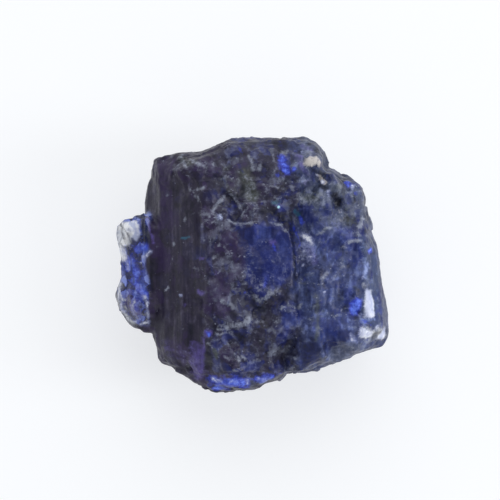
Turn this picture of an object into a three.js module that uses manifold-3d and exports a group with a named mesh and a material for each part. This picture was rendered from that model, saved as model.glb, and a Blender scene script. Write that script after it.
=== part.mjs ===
// A rough sapphire crystal, as mined: a blocky piece of a striated prism with chipped ends, a second prism
// grown beside the first with a re-entrant seam between them, and a thin clear lobe grown on to the left.
// It lies on its flat parting face, with the broad face that shows best turned up.
// Millimetres. +X is right and +Y is along the prism, both as seen from above, and +Z is up off the surface.
import * as THREE from "three";
import { mergeVertices } from "three/addons/utils/BufferGeometryUtils.js";
import Module from "manifold-3d";

const wasm = await Module();
wasm.setup();

// Driving sizes
const FACE_HEIGHT = 8.7; // the broad face above the parting face
const GIRDLE_HEIGHT = 4.9; // where the outline is widest
const PARTING_TRIM = 0.5; // how much of the rough back the parting face takes off
const OVER_GIRDLE_DRAFT = 0.16; // inset of the sides, in mm per mm above the girdle
const UNDER_GIRDLE_DRAFT = 0.22; // and below it
const BODY_STEP = new THREE.Vector3(0.46, 0.46, 0.6); // spacing of the points on the body
const LOBE_STEP = new THREE.Vector3(0.42, 0.42, 0.42); // and on the clear lobe

// The body's outline from above, clockwise from the left end of the top edge
const BODY_OUTLINE = [
  [-5.98, 5.65], [-5.62, 6.25], [-4.95, 6.52], [-3.0, 6.65], [-2.2, 6.84], [-1.2, 7.25], [1.3, 7.5],
  [3.5, 7.3], [4.05, 6.75], [4.35, 6.15], [4.27, 5.78], [4.75, 5.65], [5.25, 5.22], [5.65, 5.2], [6.17, 4.8],
  [6.46, 4.28], [6.55, 3.7], [6.97, 2.65], [7.1, 1.85], [7.35, 1.2], [7.64, -0.5], [7.8, -2.2],
  [7.97, -3.45], [7.93, -4.15], [7.6, -4.66], [6.2, -5.12], [5.0, -5.66], [4.0, -5.78], [3.1, -6.24],
  [2.0, -6.35], [1.75, -6.85], [0.7, -7.08], [-0.5, -7.22], [-1.65, -7.6], [-2.35, -7.48], [-3.3, -6.75],
  [-4.5, -6.05], [-5.25, -5.35], [-5.62, -4.3], [-5.9, -3.5], [-6.0, 0.5], [-6.5, 2.92], [-6.46, 3.8],
  [-6.26, 4.88], [-5.98, 5.02],
];

// Crystal faces and flat breaks: a point on each, and the way it faces
const MAIN_PRISM = {
  broadFace: { through: [0, 0, FACE_HEIGHT], facing: [0.02, 0.03, 1] },
  leftFace: { through: [-2.7, 0, FACE_HEIGHT - 0.1], facing: [-0.95, -0.04, 1] },
  farLeftFace: { through: [-5.2, 0, FACE_HEIGHT - 2.5], facing: [-2.2, -0.1, 1] },
  topSlope: { through: [0, 4.6, FACE_HEIGHT - 0.1], facing: [0, 0.62, 1] },
  topBevel: { through: [0, 6.2, FACE_HEIGHT - 0.9], facing: [0.1, 1.5, 1] },
  bottomSlope: { through: [0, -4.3, FACE_HEIGHT - 0.15], facing: [0.05, -0.55, 1] },
  bottomBevel: { through: [0, -6.4, FACE_HEIGHT - 1.3], facing: [0.1, -1.7, 1] },
  lowLeftBevel: { through: [-4.2, -4.1, FACE_HEIGHT - 1.35], facing: [-0.75, -0.85, 1] },
  topLeftBevel: { through: [-4.6, 5.4, FACE_HEIGHT - 1.6], facing: [-0.8, 0.9, 1] },
  rightFlank: { through: [4.1, 0, FACE_HEIGHT], facing: [1.9, -0.19, 1] },
};
const RIGHT_PRISM = {
  leftFlank: { through: [2.3, 0, FACE_HEIGHT], facing: [-2.1, 0, 1] },
  rightFace: { through: [3, 0, FACE_HEIGHT - 0.25], facing: [0.2, 0.03, 1] },
  shoulderSlope: { through: [4.6, 3.3, FACE_HEIGHT - 0.7], facing: [0.47, 0.71, 1] },
  glassyBevel: { through: [6.55, 1, FACE_HEIGHT - 1.05], facing: [1.9, 0.17, 1] },
  glassyCorner: { through: [7.2, -4.0, FACE_HEIGHT - 2.2], facing: [1.5, -0.9, 1] },
  lowFacet: { through: [5.5, -4.75, FACE_HEIGHT - 1.2], facing: [-0.4, -1.35, 1] },
};
const SIDES_AND_BACK = {
  leftBack: { through: [-3.1, 0, -PARTING_TRIM], facing: [-0.8, 0.08, -1] },
  rightBack: { through: [4.4, 0, -PARTING_TRIM], facing: [0.7, 0.08, -1] },
  topBack: { through: [0, 3.9, -PARTING_TRIM], facing: [0.05, 0.5, -1] },
  bottomBack: { through: [0, -3.9, -PARTING_TRIM], facing: [0.06, -0.6, -1] },
  topRightBack: { through: [3.6, 3.6, -PARTING_TRIM], facing: [0.35, 0.35, -1] },
  lowLeftBack: { through: [-3.1, -3.1, -PARTING_TRIM], facing: [-0.45, -0.4, -1] },
  lowRightBreak: { through: [6.2, -4.2, 1.5], facing: [0.6, -0.45, -0.66] },
  topLeftBreak: { through: [-4.7, 5.0, 1.6], facing: [-0.55, 0.5, -0.66] },
  topBreak: { through: [-1.0, 6.75, 3.4], facing: [-0.15, 0.86, -0.5] },
  rightBreak: { through: [7.0, 0.5, 3.0], facing: [0.88, 0.2, -0.42] },
  knobBreak: { through: [-1.2, -6.9, 3.3], facing: [-0.1, -0.85, -0.52] },
  leftBreak: { through: [-5.5, -1.0, 2.6], facing: [-0.85, -0.15, -0.5] },
  topRightBreak: { through: [3.8, 6.3, 2.6], facing: [0.5, 0.65, -0.55] },
  lowBreak: { through: [3.6, -5.6, 2.2], facing: [0.2, -0.8, -0.56] },
};

// The seam between the two prisms, from the outline's notch at the top right to the one in the bottom edge
const SEAM = {
  line: [
    [4.36, 5.8], [3.2, 4.4], [2.6, 3.0], [2.8, 0.9], [2.9, -1.4], [2.7, -3.1], [2.0, -4.9], [1.9, -6.3],
  ],
  depth: 0.75,
  halfWidth: 0.6,
};

// Ledges are low cliffs. Just above a ledge's line the face is lower by drop, and it comes back to its own
// height over reach. Where drop is negative, it is below the line that the face is lower.
const LEDGE_WIDTH = 0.45;
const LEDGES = [
  { line: [[-1.7, 2.9], [-0.8, 2.5], [0.6, 2.45], [2.1, 2.0]], drop: 0.5, reach: 1.5 },
  { line: [[-0.8, 3.4], [-0.1, 3.65], [1.4, 3.7]], drop: 0.45, reach: 1.3 },
  { line: [[0.4, 4.8], [1.5, 4.3], [2.3, 4.6]], drop: 0.5, reach: 1.5 },
  { line: [[-4.3, 4.9], [-2.8, 5.5], [-1.5, 5.3]], drop: -0.35, reach: 1.1 },
  { line: [[-2.7, 4.6], [-1.9, 3.5], [-1.4, 2.5]], drop: 0.4, reach: 1.3 },
  { line: [[-0.9, -1.0], [0.0, -1.6], [0.6, -1.85], [1.5, -1.5]], drop: -0.45, reach: 1.4 },
  { line: [[-1.8, -3.2], [-1.0, -3.5], [-0.1, -3.1], [0.5, -2.6]], drop: -0.5, reach: 1.5 },
  { line: [[-1.3, -4.9], [-0.4, -5.4], [0.7, -5.4]], drop: 0.45, reach: 1.3 },
  { line: [[3.6, -2.4], [4.6, -2.1], [5.6, -2.3]], drop: -0.35, reach: 1.2 },
  { line: [[3.5, 2.6], [4.6, 2.2], [5.9, 2.4], [6.6, 2.2]], drop: 0.45, reach: 1.3 },
  { line: [[3.9, 0.2], [5.0, 0.5], [6.1, 0.1]], drop: 0.3, reach: 1.2 },
];

const PITS = [
  { x: 4.85, y: 3.6, radius: 0.6, depth: 0.55 },
  { x: 0.4, y: -2.9, radius: 0.8, depth: 0.45 },
  { x: -0.6, y: 4.5, radius: 0.7, depth: 0.45 },
  { x: 1.9, y: 3.0, radius: 0.8, depth: 0.4 },
  { x: 1.6, y: -5.3, radius: 0.7, depth: 0.5 },
  { x: -3.4, y: -2.2, radius: 0.6, depth: 0.25 },
];
const LUMPS = [
  { x: -4.2, y: 5.6, radius: 1.0, height: 0.3 },
  { x: -3.0, y: 5.9, radius: 1.1, height: 0.3 },
  { x: 3.5, y: 5.9, radius: 1.1, height: 0.35 },
  { x: 5.5, y: 3.9, radius: 1.1, height: 0.3 },
  { x: 4.8, y: 4.7, radius: 0.8, height: 0.25 },
  { x: -0.9, y: 6.0, radius: 1.0, height: 0.35 },
  { x: -1.0, y: -6.0, radius: 1.3, height: 0.4 },
  { x: 1.0, y: 5.6, radius: 1.0, height: 0.35 },
];

// Rough breakage is chips of two sizes. Striated faces have long thin chips along the prism instead.
const CHIPS = { size: new THREE.Vector3(2.6, 3.2, 2.4), relief: 0.26 };
const SMALL_CHIPS = { size: new THREE.Vector3(1.3, 1.6, 1.3), relief: 0.12 };
const STRIAE = { size: new THREE.Vector3(0.95, 6.5, 1.4), relief: 0.16 };
const CHIP_EDGE = 0.25; // how soft the edges between chips are, as a share of a chip

// The clear lobe's outline, clockwise from where it meets the body at the top. Its right side is in the body.
const LOBE_OUTLINE = [
  [-6.2, 3.14], [-7.42, 2.9], [-7.86, 2.42], [-7.93, 1.8], [-7.74, 0.9], [-7.7, 0.2], [-7.58, -0.58],
  [-7.92, -1.05], [-8.0, -1.7], [-7.75, -2.5], [-7.36, -3.16], [-6.86, -3.68], [-5.9, -3.8], [-4.6, -3.2],
  [-4.4, 2.4],
];
const LOBE = {
  height: 4.7, // the middle of the lobe above the parting face
  halfThickness: 1.1,
  lowerHalfThickness: 1.45, // the lower lump is thicker
  bevel: 0.6, // how far the edge leans in, in mm per mm off the middle
  waist: { line: [[-7.9, -0.2], [-6.9, -0.7], [-5.6, -1.6]], depth: 0.35, halfWidth: 0.9 },
};
const LOBE_CHIPS = { size: new THREE.Vector3(1.3, 1.9, 1.3), relief: 0.2 };

function clamp01(t) {
  return Math.min(1, Math.max(0, t));
}

function smoothStep(from, to, t) {
  const s = clamp01((t - from) / (to - from));
  return s * s * (3 - 2 * s);
}

function mix(a, b, share) {
  return a + (b - a) * share;
}

// The nearest point of an open or closed line: its distance, and side, which is 1 to the left of the line
function nearestOnLine(points, x, y, closed = false) {
  const best = { distance: Infinity, side: 1 };
  const last = closed ? points.length : points.length - 1;
  for (let i = 0; i < last; i++) {
    const [ax, ay] = points[i];
    const [bx, by] = points[(i + 1) % points.length];
    const [dx, dy] = [bx - ax, by - ay];
    const along = clamp01(((x - ax) * dx + (y - ay) * dy) / (dx * dx + dy * dy));
    const distance = Math.hypot(x - ax - along * dx, y - ay - along * dy);
    if (distance < best.distance) {
      best.distance = distance;
      best.side = Math.sign(dx * (y - ay) - dy * (x - ax)) || 1;
    }
  }
  return best;
}

// Distance to a closed outline, negative inside it
function outlineDistance(outline, x, y) {
  let inside = false;
  for (let i = 0, j = outline.length - 1; i < outline.length; j = i++) {
    const [ax, ay] = outline[i];
    const [bx, by] = outline[j];
    if (ay > y !== by > y && x < ((bx - ax) * (y - ay)) / (by - ay) + ax) inside = !inside;
  }
  const { distance } = nearestOnLine(outline, x, y, true);
  return inside ? -distance : distance;
}

// Distance out past the faces of a convex solid, negative inside it
function beyondFaces(faces, p) {
  const beyond = Object.values(faces).map(({ through, facing }) => {
    const offset = [p.x - through[0], p.y - through[1], p.z - through[2]];
    const out = offset[0] * facing[0] + offset[1] * facing[1] + offset[2] * facing[2];
    return out / Math.hypot(...facing);
  });
  return Math.max(...beyond);
}

// A repeatable number from 0 to 1 for a cell of space
function cellRandom(i, j, k, salt) {
  const s = Math.sin(i * 127.1 + j * 311.7 + k * 74.7 + salt * 53.3) * 43758.5453;
  return s - Math.floor(s);
}

// The height of one cell's flat chip at an offset from the cell's own point
function chipLevel(cell, offset, salt) {
  const tilt = (axis) => offset[axis] * (2 * cellRandom(...cell, salt + 5 + axis) - 1);
  return 1.4 * (cellRandom(...cell, salt + 9) - 0.5) + 0.9 * (tilt(0) + tilt(1) + tilt(2));
}

// Flat chips: space is parted into cells, and each has its own level and slope, softened where two cells meet
function chipRelief(p, { size, relief }, salt) {
  const q = [p.x / size.x, p.y / size.y, p.z / size.z];
  const home = q.map(Math.floor);
  const found = [];
  for (let a = -1; a <= 1; a++)
    for (let b = -1; b <= 1; b++)
      for (let c = -1; c <= 1; c++) {
        const cell = [home[0] + a, home[1] + b, home[2] + c];
        const offset = cell.map((n, axis) => n + 0.15 + 0.7 * cellRandom(...cell, salt + axis) - q[axis]);
        found.push({ distance: Math.hypot(...offset), cell, offset });
      }
  found.sort((one, other) => one.distance - other.distance);
  const [nearest, second] = found;
  const own = 0.5 + 0.5 * clamp01((second.distance - nearest.distance) / CHIP_EDGE);
  const secondLevel = chipLevel(second.cell, second.offset, salt);
  const nearestLevel = chipLevel(nearest.cell, nearest.offset, salt);
  return relief * mix(secondLevel, nearestLevel, own);
}

// Ledges, pits, lumps and the seam, as a change of height of the front
function frontRelief(x, y) {
  let relief = 0;
  for (const { line, drop, reach } of LEDGES) {
    const { distance, side } = nearestOnLine(line, x, y);
    const outOverCliff = clamp01((side * Math.sign(drop) * distance) / LEDGE_WIDTH);
    relief -= Math.abs(drop) * outOverCliff * clamp01(1 - distance / reach);
  }
  for (const pit of PITS) relief -= pit.depth * smoothStep(pit.radius, 0.2, Math.hypot(x - pit.x, y - pit.y));
  for (const lump of LUMPS) {
    relief += lump.height * smoothStep(lump.radius, 0.1, Math.hypot(x - lump.x, y - lump.y));
  }
  const seam = nearestOnLine(SEAM.line, x, y).distance;
  return relief - SEAM.depth * clamp01(1 - seam / SEAM.halfWidth);
}

function bodyField(p) {
  const over = p.z - GIRDLE_HEIGHT;
  const draft = over > 0 ? OVER_GIRDLE_DRAFT * over : -UNDER_GIRDLE_DRAFT * over;
  const prisms = Math.min(beyondFaces(MAIN_PRISM, p), beyondFaces(RIGHT_PRISM, p));
  return Math.max(
    prisms - frontRelief(p.x, p.y),
    beyondFaces(SIDES_AND_BACK, p),
    outlineDistance(BODY_OUTLINE, p.x, p.y) + draft,
  );
}

// The left face and the low sides are striated along the prism, and the rest is chipped
function bodyRelief(p) {
  const leftFace = smoothStep(-1.8, -3.2, p.x) * smoothStep(5.4, 4.2, Math.abs(p.y));
  const rightSide = 0.7 * smoothStep(6.0, 7.0, p.x) * smoothStep(4.5, 3.0, Math.abs(p.y));
  const striated = Math.max(leftFace, rightSide);
  const chipped = chipRelief(p, CHIPS, 1) + chipRelief(p, SMALL_CHIPS, 2);
  const nearParting = mix(0.3, 1, smoothStep(0.4, 1.6, p.z));
  return mix(chipped, 0.3 * chipped + chipRelief(p, STRIAE, 3), striated) * nearParting;
}

// A thin slab with bevelled edges, a waist, and a thicker lump below the waist
function lobeField(p) {
  const lowerLump = smoothStep(0.4, -1.6, p.y);
  const offMiddle = Math.abs(p.z - (LOBE.height - 0.3 * lowerLump + 0.2 * (p.x + 6.5)));
  const offWaist = nearestOnLine(LOBE.waist.line, p.x, p.y).distance;
  const waist = LOBE.waist.depth * clamp01(1 - offWaist / LOBE.waist.halfWidth);
  const half = mix(LOBE.halfThickness, LOBE.lowerHalfThickness, lowerLump) - waist;
  return Math.max(offMiddle - half, outlineDistance(LOBE_OUTLINE, p.x, p.y) + LOBE.bevel * offMiddle);
}

// The surface along a ray from the centre: the last place where the field is inside
function reachAlong(field, centre, direction, farthest) {
  const at = (t) => centre.clone().addScaledVector(direction, t);
  const stride = 0.08;
  let t = farthest;
  while (t > stride && field(at(t)) > 0) t -= stride;
  let [inside, outside] = [t, t + stride];
  for (let i = 0; i < 12; i++) {
    const middle = (inside + outside) / 2;
    if (field(at(middle)) > 0) outside = middle;
    else inside = middle;
  }
  return inside;
}

// A closed skin over a field: the points of a box's grid, each moved along its ray from the centre to the
// surface, and then in or out by the relief there
function skinSolid({ field, relief, centre, box, step }) {
  const segments = box.clone().divide(step).round();
  const grid = new THREE.BoxGeometry(box.x, box.y, box.z, segments.x, segments.y, segments.z);
  const skin = bareGeometry(grid);
  const points = skin.getAttribute("position");
  const direction = new THREE.Vector3();
  for (let i = 0; i < points.count; i++) {
    direction.fromBufferAttribute(points, i).normalize();
    const reach = reachAlong(field, centre, direction, box.length());
    const surface = centre.clone().addScaledVector(direction, reach);
    surface.addScaledVector(direction, relief(surface));
    points.setXYZ(i, surface.x, surface.y, surface.z);
  }
  foldShortWay(skin);
  return solidFrom(skin);
}

// Parts each square of the grid along its shorter diagonal, so that edges which run slantwise stay clean.
// A square is six entries of the index, for the corners a, b, d and b, c, d.
function foldShortWay(skin) {
  const index = skin.index.array;
  const points = skin.getAttribute("position");
  const corner = (n) => new THREE.Vector3().fromBufferAttribute(points, n);
  for (let i = 0; i < index.length; i += 6) {
    const [a, b, d, , c] = index.slice(i, i + 6);
    const otherWayIsShorter = corner(a).distanceTo(corner(c)) < corner(b).distanceTo(corner(d));
    if (otherWayIsShorter) index.set([a, b, c, a, c, d], i);
  }
}

// Points and triangles alone, with the points that meet at an edge merged
function bareGeometry(geometry) {
  geometry.deleteAttribute("normal");
  geometry.deleteAttribute("uv");
  return mergeVertices(geometry);
}

function solidFrom(geometry) {
  return new wasm.Manifold(
    new wasm.Mesh({
      numProp: 3,
      vertProperties: new Float32Array(geometry.getAttribute("position").array),
      triVerts: new Uint32Array(geometry.index.array),
    }),
  );
}

function boxSolid(low, high) {
  const size = high.clone().sub(low);
  const middle = high.clone().add(low).multiplyScalar(0.5);
  const box = new THREE.BoxGeometry(size.x, size.y, size.z).translate(middle.x, middle.y, middle.z);
  return solidFrom(bareGeometry(box));
}

function geometryFrom(solid) {
  const mesh = solid.getMesh();
  const points = new THREE.BufferAttribute(new Float32Array(mesh.vertProperties), mesh.numProp);
  const geometry = new THREE.BufferGeometry();
  geometry.setAttribute("position", points);
  geometry.setIndex(new THREE.BufferAttribute(new Uint32Array(mesh.triVerts), 1));
  return geometry;
}

function crystalGeometry() {
  const body = skinSolid({
    field: bodyField,
    relief: bodyRelief,
    centre: new THREE.Vector3(0.7, -0.1, 4.2),
    box: new THREE.Vector3(14.2, 15, 9.4),
    step: BODY_STEP,
  });
  const lobe = skinSolid({
    field: lobeField,
    relief: (p) => chipRelief(p, LOBE_CHIPS, 4),
    centre: new THREE.Vector3(-5.9, -0.3, LOBE.height),
    box: new THREE.Vector3(3.4, 6.8, 2.9),
    step: LOBE_STEP,
  });
  const underParting = boxSolid(new THREE.Vector3(-20, -20, -5), new THREE.Vector3(20, 20, 0));
  const geometry = geometryFrom(body.add(lobe).subtract(underParting));
  geometry.computeBoundingBox();
  const middle = geometry.boundingBox.getCenter(new THREE.Vector3());
  return geometry.translate(-middle.x, -middle.y, 0);
}

const deepBlueCrystal = new THREE.MeshStandardMaterial({ color: 0x262b52, roughness: 0.35, metalness: 0 });
deepBlueCrystal.flatShading = true;

const crystal = new THREE.Mesh(crystalGeometry(), deepBlueCrystal);
crystal.name = "sapphire_crystal";

const part = new THREE.Group();
part.add(crystal);

export default part;
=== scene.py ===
"""The looks of a rough sapphire crystal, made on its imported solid.

The skin is worked in millimetres, in the model's own frame, and turned to metres at the end. The solid's copy
is remeshed finely, and its relief is added point by point: chips, hollows, striae and ledges. Features of the
front, which the camera looks down on, are placed by pixels of the photo.
"""
import itertools
from types import SimpleNamespace

import bmesh
import bpy
import numpy as np
from mathutils import Matrix, Vector


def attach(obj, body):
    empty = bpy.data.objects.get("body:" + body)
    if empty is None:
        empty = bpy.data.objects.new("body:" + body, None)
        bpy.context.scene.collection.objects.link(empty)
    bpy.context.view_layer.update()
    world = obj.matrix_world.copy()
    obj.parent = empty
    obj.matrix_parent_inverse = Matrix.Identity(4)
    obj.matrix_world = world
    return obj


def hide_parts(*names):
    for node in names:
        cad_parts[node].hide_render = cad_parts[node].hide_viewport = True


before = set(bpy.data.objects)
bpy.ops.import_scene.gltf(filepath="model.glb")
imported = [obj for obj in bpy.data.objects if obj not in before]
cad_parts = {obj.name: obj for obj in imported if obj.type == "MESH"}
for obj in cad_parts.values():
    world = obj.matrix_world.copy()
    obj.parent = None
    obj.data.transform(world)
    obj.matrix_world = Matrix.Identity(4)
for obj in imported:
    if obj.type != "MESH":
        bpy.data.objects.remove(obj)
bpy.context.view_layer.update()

# One millimetre in metres
METRES = 0.001

# The skin and its relief, in millimetres
MERGE_DISTANCE = 0.002
VOXEL = 0.097
FLAT_BACK = 0.12
RELIEF_FROM = 0.9
FRONT_FROM = (3.2, 4.4)
FACET_DEPTH = 0.04
FACET_EDGE = (-0.04, 0.06)
WAVE_HEIGHT = 0.03
RIDGE_HEIGHT = 0.04
HOLLOW_DEPTH = 0.12
GRAIN_BUMP = 0.05

# The upward part of the normal, from which a point faces up, and under which it is on a steep side
FACES_UP = (0.1, 0.4)
STEEP_SIDE = (0.65, 0.2)

# How far the edges of chips are shaken, and by how large a noise, as shares of the smallest size of a chip
CHIP_SHAKE = 0.14
CHIP_SHAKE_SIZE = 0.6

# The ledges and the crack of the front, in millimetres
LEDGE_DROP = 0.12
LEDGE_FACE = 0.14
LEDGE_REACH = 0.5
LEDGE_LIP = 0.03
LIP_WIDTH = 0.12
CRACK_DEPTH = 0.03
CRACK_WIDTH = 0.09

# Rounds of blurring. Each round of the softening shrinks the skin and then grows it, so it keeps its size.
SOFTENING_ROUNDS = 5
SHRINK_THEN_GROW = (0.5, -0.52)
NORMAL_ROUNDS = 5
RIDGE_ROUNDS = 4
HOLLOW_ROUNDS = 30
FACET_EDGE_ROUNDS = 5

# The clear lobe, in millimetres: where it fades out at its top and at its foot, and the middle of its height,
# which is taken at LOBE_X and rises to the right by LOBE_TILT
LOBE_TOP = (3.25, 2.95)
LOBE_FOOT = (-3.95, -3.65)
LOBE_RIM_FOOT = (-3.9, -3.5)
LOBE_X = -6.5
LOBE_MIDDLE = 4.7
LOBE_TILT = 0.2

# The photo's frame: 500 pixels square, with the model's origin at a pixel of its own
PICTURE_PIXELS = 500
MM_PER_PIXEL = 0.058
ORIGIN_PIXEL = (251.9, 265.2)
GIRDLE_HEIGHT = 4.9

# The stone: its index of refraction, and the colour and strength with which its depth takes up light
STONE_IOR = 1.77
ABSORPTION_COLOUR = (0.0, 0.3, 0.75, 1)
ABSORPTION_DENSITY = 110.0

# How much finer the grain is across the steep sides than down them
SIDE_GRAIN = 0.5

# How far each seed moves a texture along x, y and z, counted in its own lumps
SEED_STEPS = (7.3, 3.1, 5.7)

# Strengths of the room's light, and of the floor's own glow, which keeps the shadow faint
ROOM_LIGHT = 0.85
OVERHEAD_LIGHT = 0.24
FLOOR_GLOW = 0.63

# The place that the lights face, in metres
LIGHTS_AIM = (0, 0, 0.004)


def from_pixels(points):
    """Places on the front, in millimetres, of pixels of the photo."""
    pixels = np.asarray(points, float).reshape(-1, 2)
    return (pixels - ORIGIN_PIXEL) * (MM_PER_PIXEL, -MM_PER_PIXEL)


def smooth_step(low, high, values):
    t = np.clip((values - low) / (high - low), 0, 1)
    return t * t * (3 - 2 * t)


# Repeatable noise, from multipliers that scatter whole numbers, of which the lowest 32 bits are kept
SCATTER = (73856093, 19349663, 83492791, 2654435761)
SCATTER_AGAIN = 0x45D9F3B
LOW_BITS = 0xFFFFFFFF


def lattice(places, seed):
    """A repeatable number from 0 to 1 for each row of three whole numbers."""
    x, y, z = places.T
    mixed = x * SCATTER[0] ^ y * SCATTER[1] ^ z * SCATTER[2] ^ seed * SCATTER[3]
    for _ in range(2):
        mixed = ((mixed ^ (mixed >> 16)) & LOW_BITS) * SCATTER_AGAIN & LOW_BITS
    return ((mixed ^ (mixed >> 16)) & LOW_BITS) / LOW_BITS


def noise(points, size, seed):
    """Smooth noise from -1 to 1, with lumps of that size along x, y and z."""
    at = points / np.asarray(size, float)
    whole = np.floor(at).astype(np.int64)
    part = at - whole
    part = part * part * (3 - 2 * part)
    total = np.zeros(len(points))
    for corner in itertools.product((0, 1), repeat=3):
        weight = np.prod(np.where(corner, part, 1 - part), axis=1)
        total += weight * lattice(whole + corner, seed)
    return 2 * total - 1


def rough_noise(points, size, seed, octaves=3):
    """Noise with finer noise on it."""
    size = np.asarray(size, float)
    return sum(noise(points, size / 2 ** n, seed + n) / 2 ** n for n in range(octaves))


def warped(points, amount, size, seed):
    """Points shaken by noise, so that what is drawn on them gets wavy edges."""
    shake = np.stack([noise(points, np.full(3, size), seed + axis) for axis in range(3)], axis=1)
    return points + amount * shake


def chips(points, size, seed):
    """Space parted into random flat chips that lean all ways.

    It gives the height of the chip at each point, from about -1 to 1, the chip's own tone, from 0 to 1, and
    how near its edge the point is, from 0 to 1 on the edge.
    """
    slope = 1.2
    edge_width = 0.16
    at = points / np.asarray(size, float)
    home = np.floor(at).astype(np.int64)
    nearest = np.full(len(points), np.inf)
    second = nearest.copy()
    height = np.zeros(len(points))
    tone = np.zeros(len(points))
    for neighbour in itertools.product((-1, 0, 1), repeat=3):
        cell = home + neighbour
        spot = np.stack([lattice(cell, seed + axis) for axis in range(3)], axis=1)
        offset = cell + 0.1 + 0.8 * spot - at
        distance = np.linalg.norm(offset, axis=1)
        lean = np.stack([2 * lattice(cell, seed + 3 + axis) - 1 for axis in range(3)], axis=1)
        level = lattice(cell, seed + 6)
        closer = distance < nearest
        second = np.where(closer, nearest, np.minimum(second, distance))
        height = np.where(closer, level - 0.5 + slope * (offset * lean).sum(1), height)
        tone = np.where(closer, lattice(cell, seed + 7), tone)
        nearest = np.where(closer, distance, nearest)
    return height, tone, np.exp(-(((second - nearest) / edge_width) ** 2))


def line_distance(points, line):
    """How far each point is from a line, and its side: 1 on the line's left, and -1 on its right."""
    best = np.full(len(points), np.inf)
    side = np.ones(len(points))
    if len(line) == 1:
        return np.hypot(*(points - line[0]).T), side
    for start, end in zip(line[:-1], line[1:]):
        run = end - start
        along = np.clip(((points - start) @ run) / (run @ run), 0, 1)
        gap = points - start - along[:, None] * run
        distance = np.hypot(*gap.T)
        cross = run[0] * gap[:, 1] - run[1] * gap[:, 0]
        side = np.where(distance < best, np.where(cross >= 0, 1, -1), side)
        best = np.minimum(best, distance)
    return best, side


# The fine skin

def fine_copy(node):
    """A copy of a CAD node, in millimetres, merged and remeshed into an even fine skin."""
    mesh = node.data.copy()
    mesh.transform(Matrix.Scale(1 / METRES, 4))
    loose = bmesh.new()
    loose.from_mesh(mesh)
    bmesh.ops.remove_doubles(loose, verts=loose.verts, dist=MERGE_DISTANCE)
    loose.to_mesh(mesh)
    loose.free()
    rough = bpy.data.objects.new("rough", mesh)
    bpy.context.scene.collection.objects.link(rough)
    remesh = rough.modifiers.new("remesh", "REMESH")
    remesh.mode = "VOXEL"
    remesh.voxel_size = VOXEL
    seen = rough.evaluated_get(bpy.context.evaluated_depsgraph_get())
    skin = bpy.data.meshes.new_from_object(seen)
    bpy.data.objects.remove(rough)
    return skin


def vectors(items, name):
    flat = np.empty(len(items) * 3)
    items.foreach_get(name, flat)
    return flat.reshape(-1, 3)


def move_to(mesh, points):
    mesh.vertices.foreach_set("co", np.ascontiguousarray(points, np.float32).ravel())
    mesh.update()


def edges_of(mesh):
    flat = np.empty(len(mesh.edges) * 2, np.int64)
    mesh.edges.foreach_get("vertices", flat)
    return flat.reshape(-1, 2)


def blurred(values, edges, rounds, shares=(0.5,)):
    """Values at the points, each moved by a share towards its neighbours' mean, many times over."""
    table = values.reshape(len(values), -1).astype(float)
    count = np.bincount(edges.ravel(), minlength=len(table))[:, None]
    for share in itertools.islice(itertools.cycle(shares), rounds * len(shares)):
        near = np.stack([
            np.bincount(edges[:, 0], column[edges[:, 1]], len(table))
            + np.bincount(edges[:, 1], column[edges[:, 0]], len(table))
            for column in table.T
        ], axis=1)
        table += share * (near / count - table)
    return table.reshape(values.shape)


def store(mesh, name, values):
    attribute = mesh.attributes.new(name, "FLOAT", "POINT")
    attribute.data.foreach_set("value", np.ascontiguousarray(values, np.float32))


# Ledges of the front, by pixel, and the side of each that is lower
LEDGES = {
    "window_top": ("upper", [
        (222, 217), (229, 221), (237, 224), (254, 223), (262, 222), (281, 225), (290, 233),
    ]),
    "over_window": ("upper", [(236, 206), (248, 205), (258, 203), (269, 202)]),
    "over_window_left": ("upper", [(229, 194), (233, 200), (238, 207)]),
    "window_fork": ("upper", [(240, 216), (245, 213), (250, 209)]),
    "high_middle": ("upper", [(260, 184), (268, 186), (277, 190)]),
    "left_corner": ("lower", [(190, 188), (197, 193), (201, 203)]),
    "middle": ("lower", [(252, 292), (257, 298), (264, 298), (271, 294), (276, 291)]),
    "middle_left": ("lower", [(224, 300), (229, 303), (236, 308)]),
    "grey_patch": ("lower", [(221, 328), (228, 325), (238, 323), (246, 319), (252, 323)]),
    "low_wave": ("upper", [(225, 356), (232, 360), (239, 362), (244, 357), (250, 361), (256, 359)]),
    "low_wave_left": ("upper", [(228, 344), (233, 349), (238, 356), (239, 361)]),
    "low_right": ("upper", [(270, 352), (275, 350), (280, 353)]),
    "right_upper": ("upper", [(319, 234), (324, 231), (328, 229)]),
    "right_fork": ("upper", [(343, 247), (348, 241), (353, 239), (361, 242)]),
    "right_edge": ("upper", [(345, 229), (350, 232), (357, 227), (361, 221)]),
    "right_low": ("upper", [(319, 275), (326, 280), (331, 277)]),
    "top_left": ("lower", [(190, 166), (196, 170), (204, 170), (212, 166)]),
    "top_middle": ("upper", [(221, 171), (228, 172), (234, 176)]),
    "knob_top": ("lower", [(208, 372), (222, 368), (240, 370), (256, 368), (270, 371)]),
    "low_facet_top": ("lower", [(326, 356), (330, 345), (349, 340), (366, 342), (382, 338)]),
}

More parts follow.
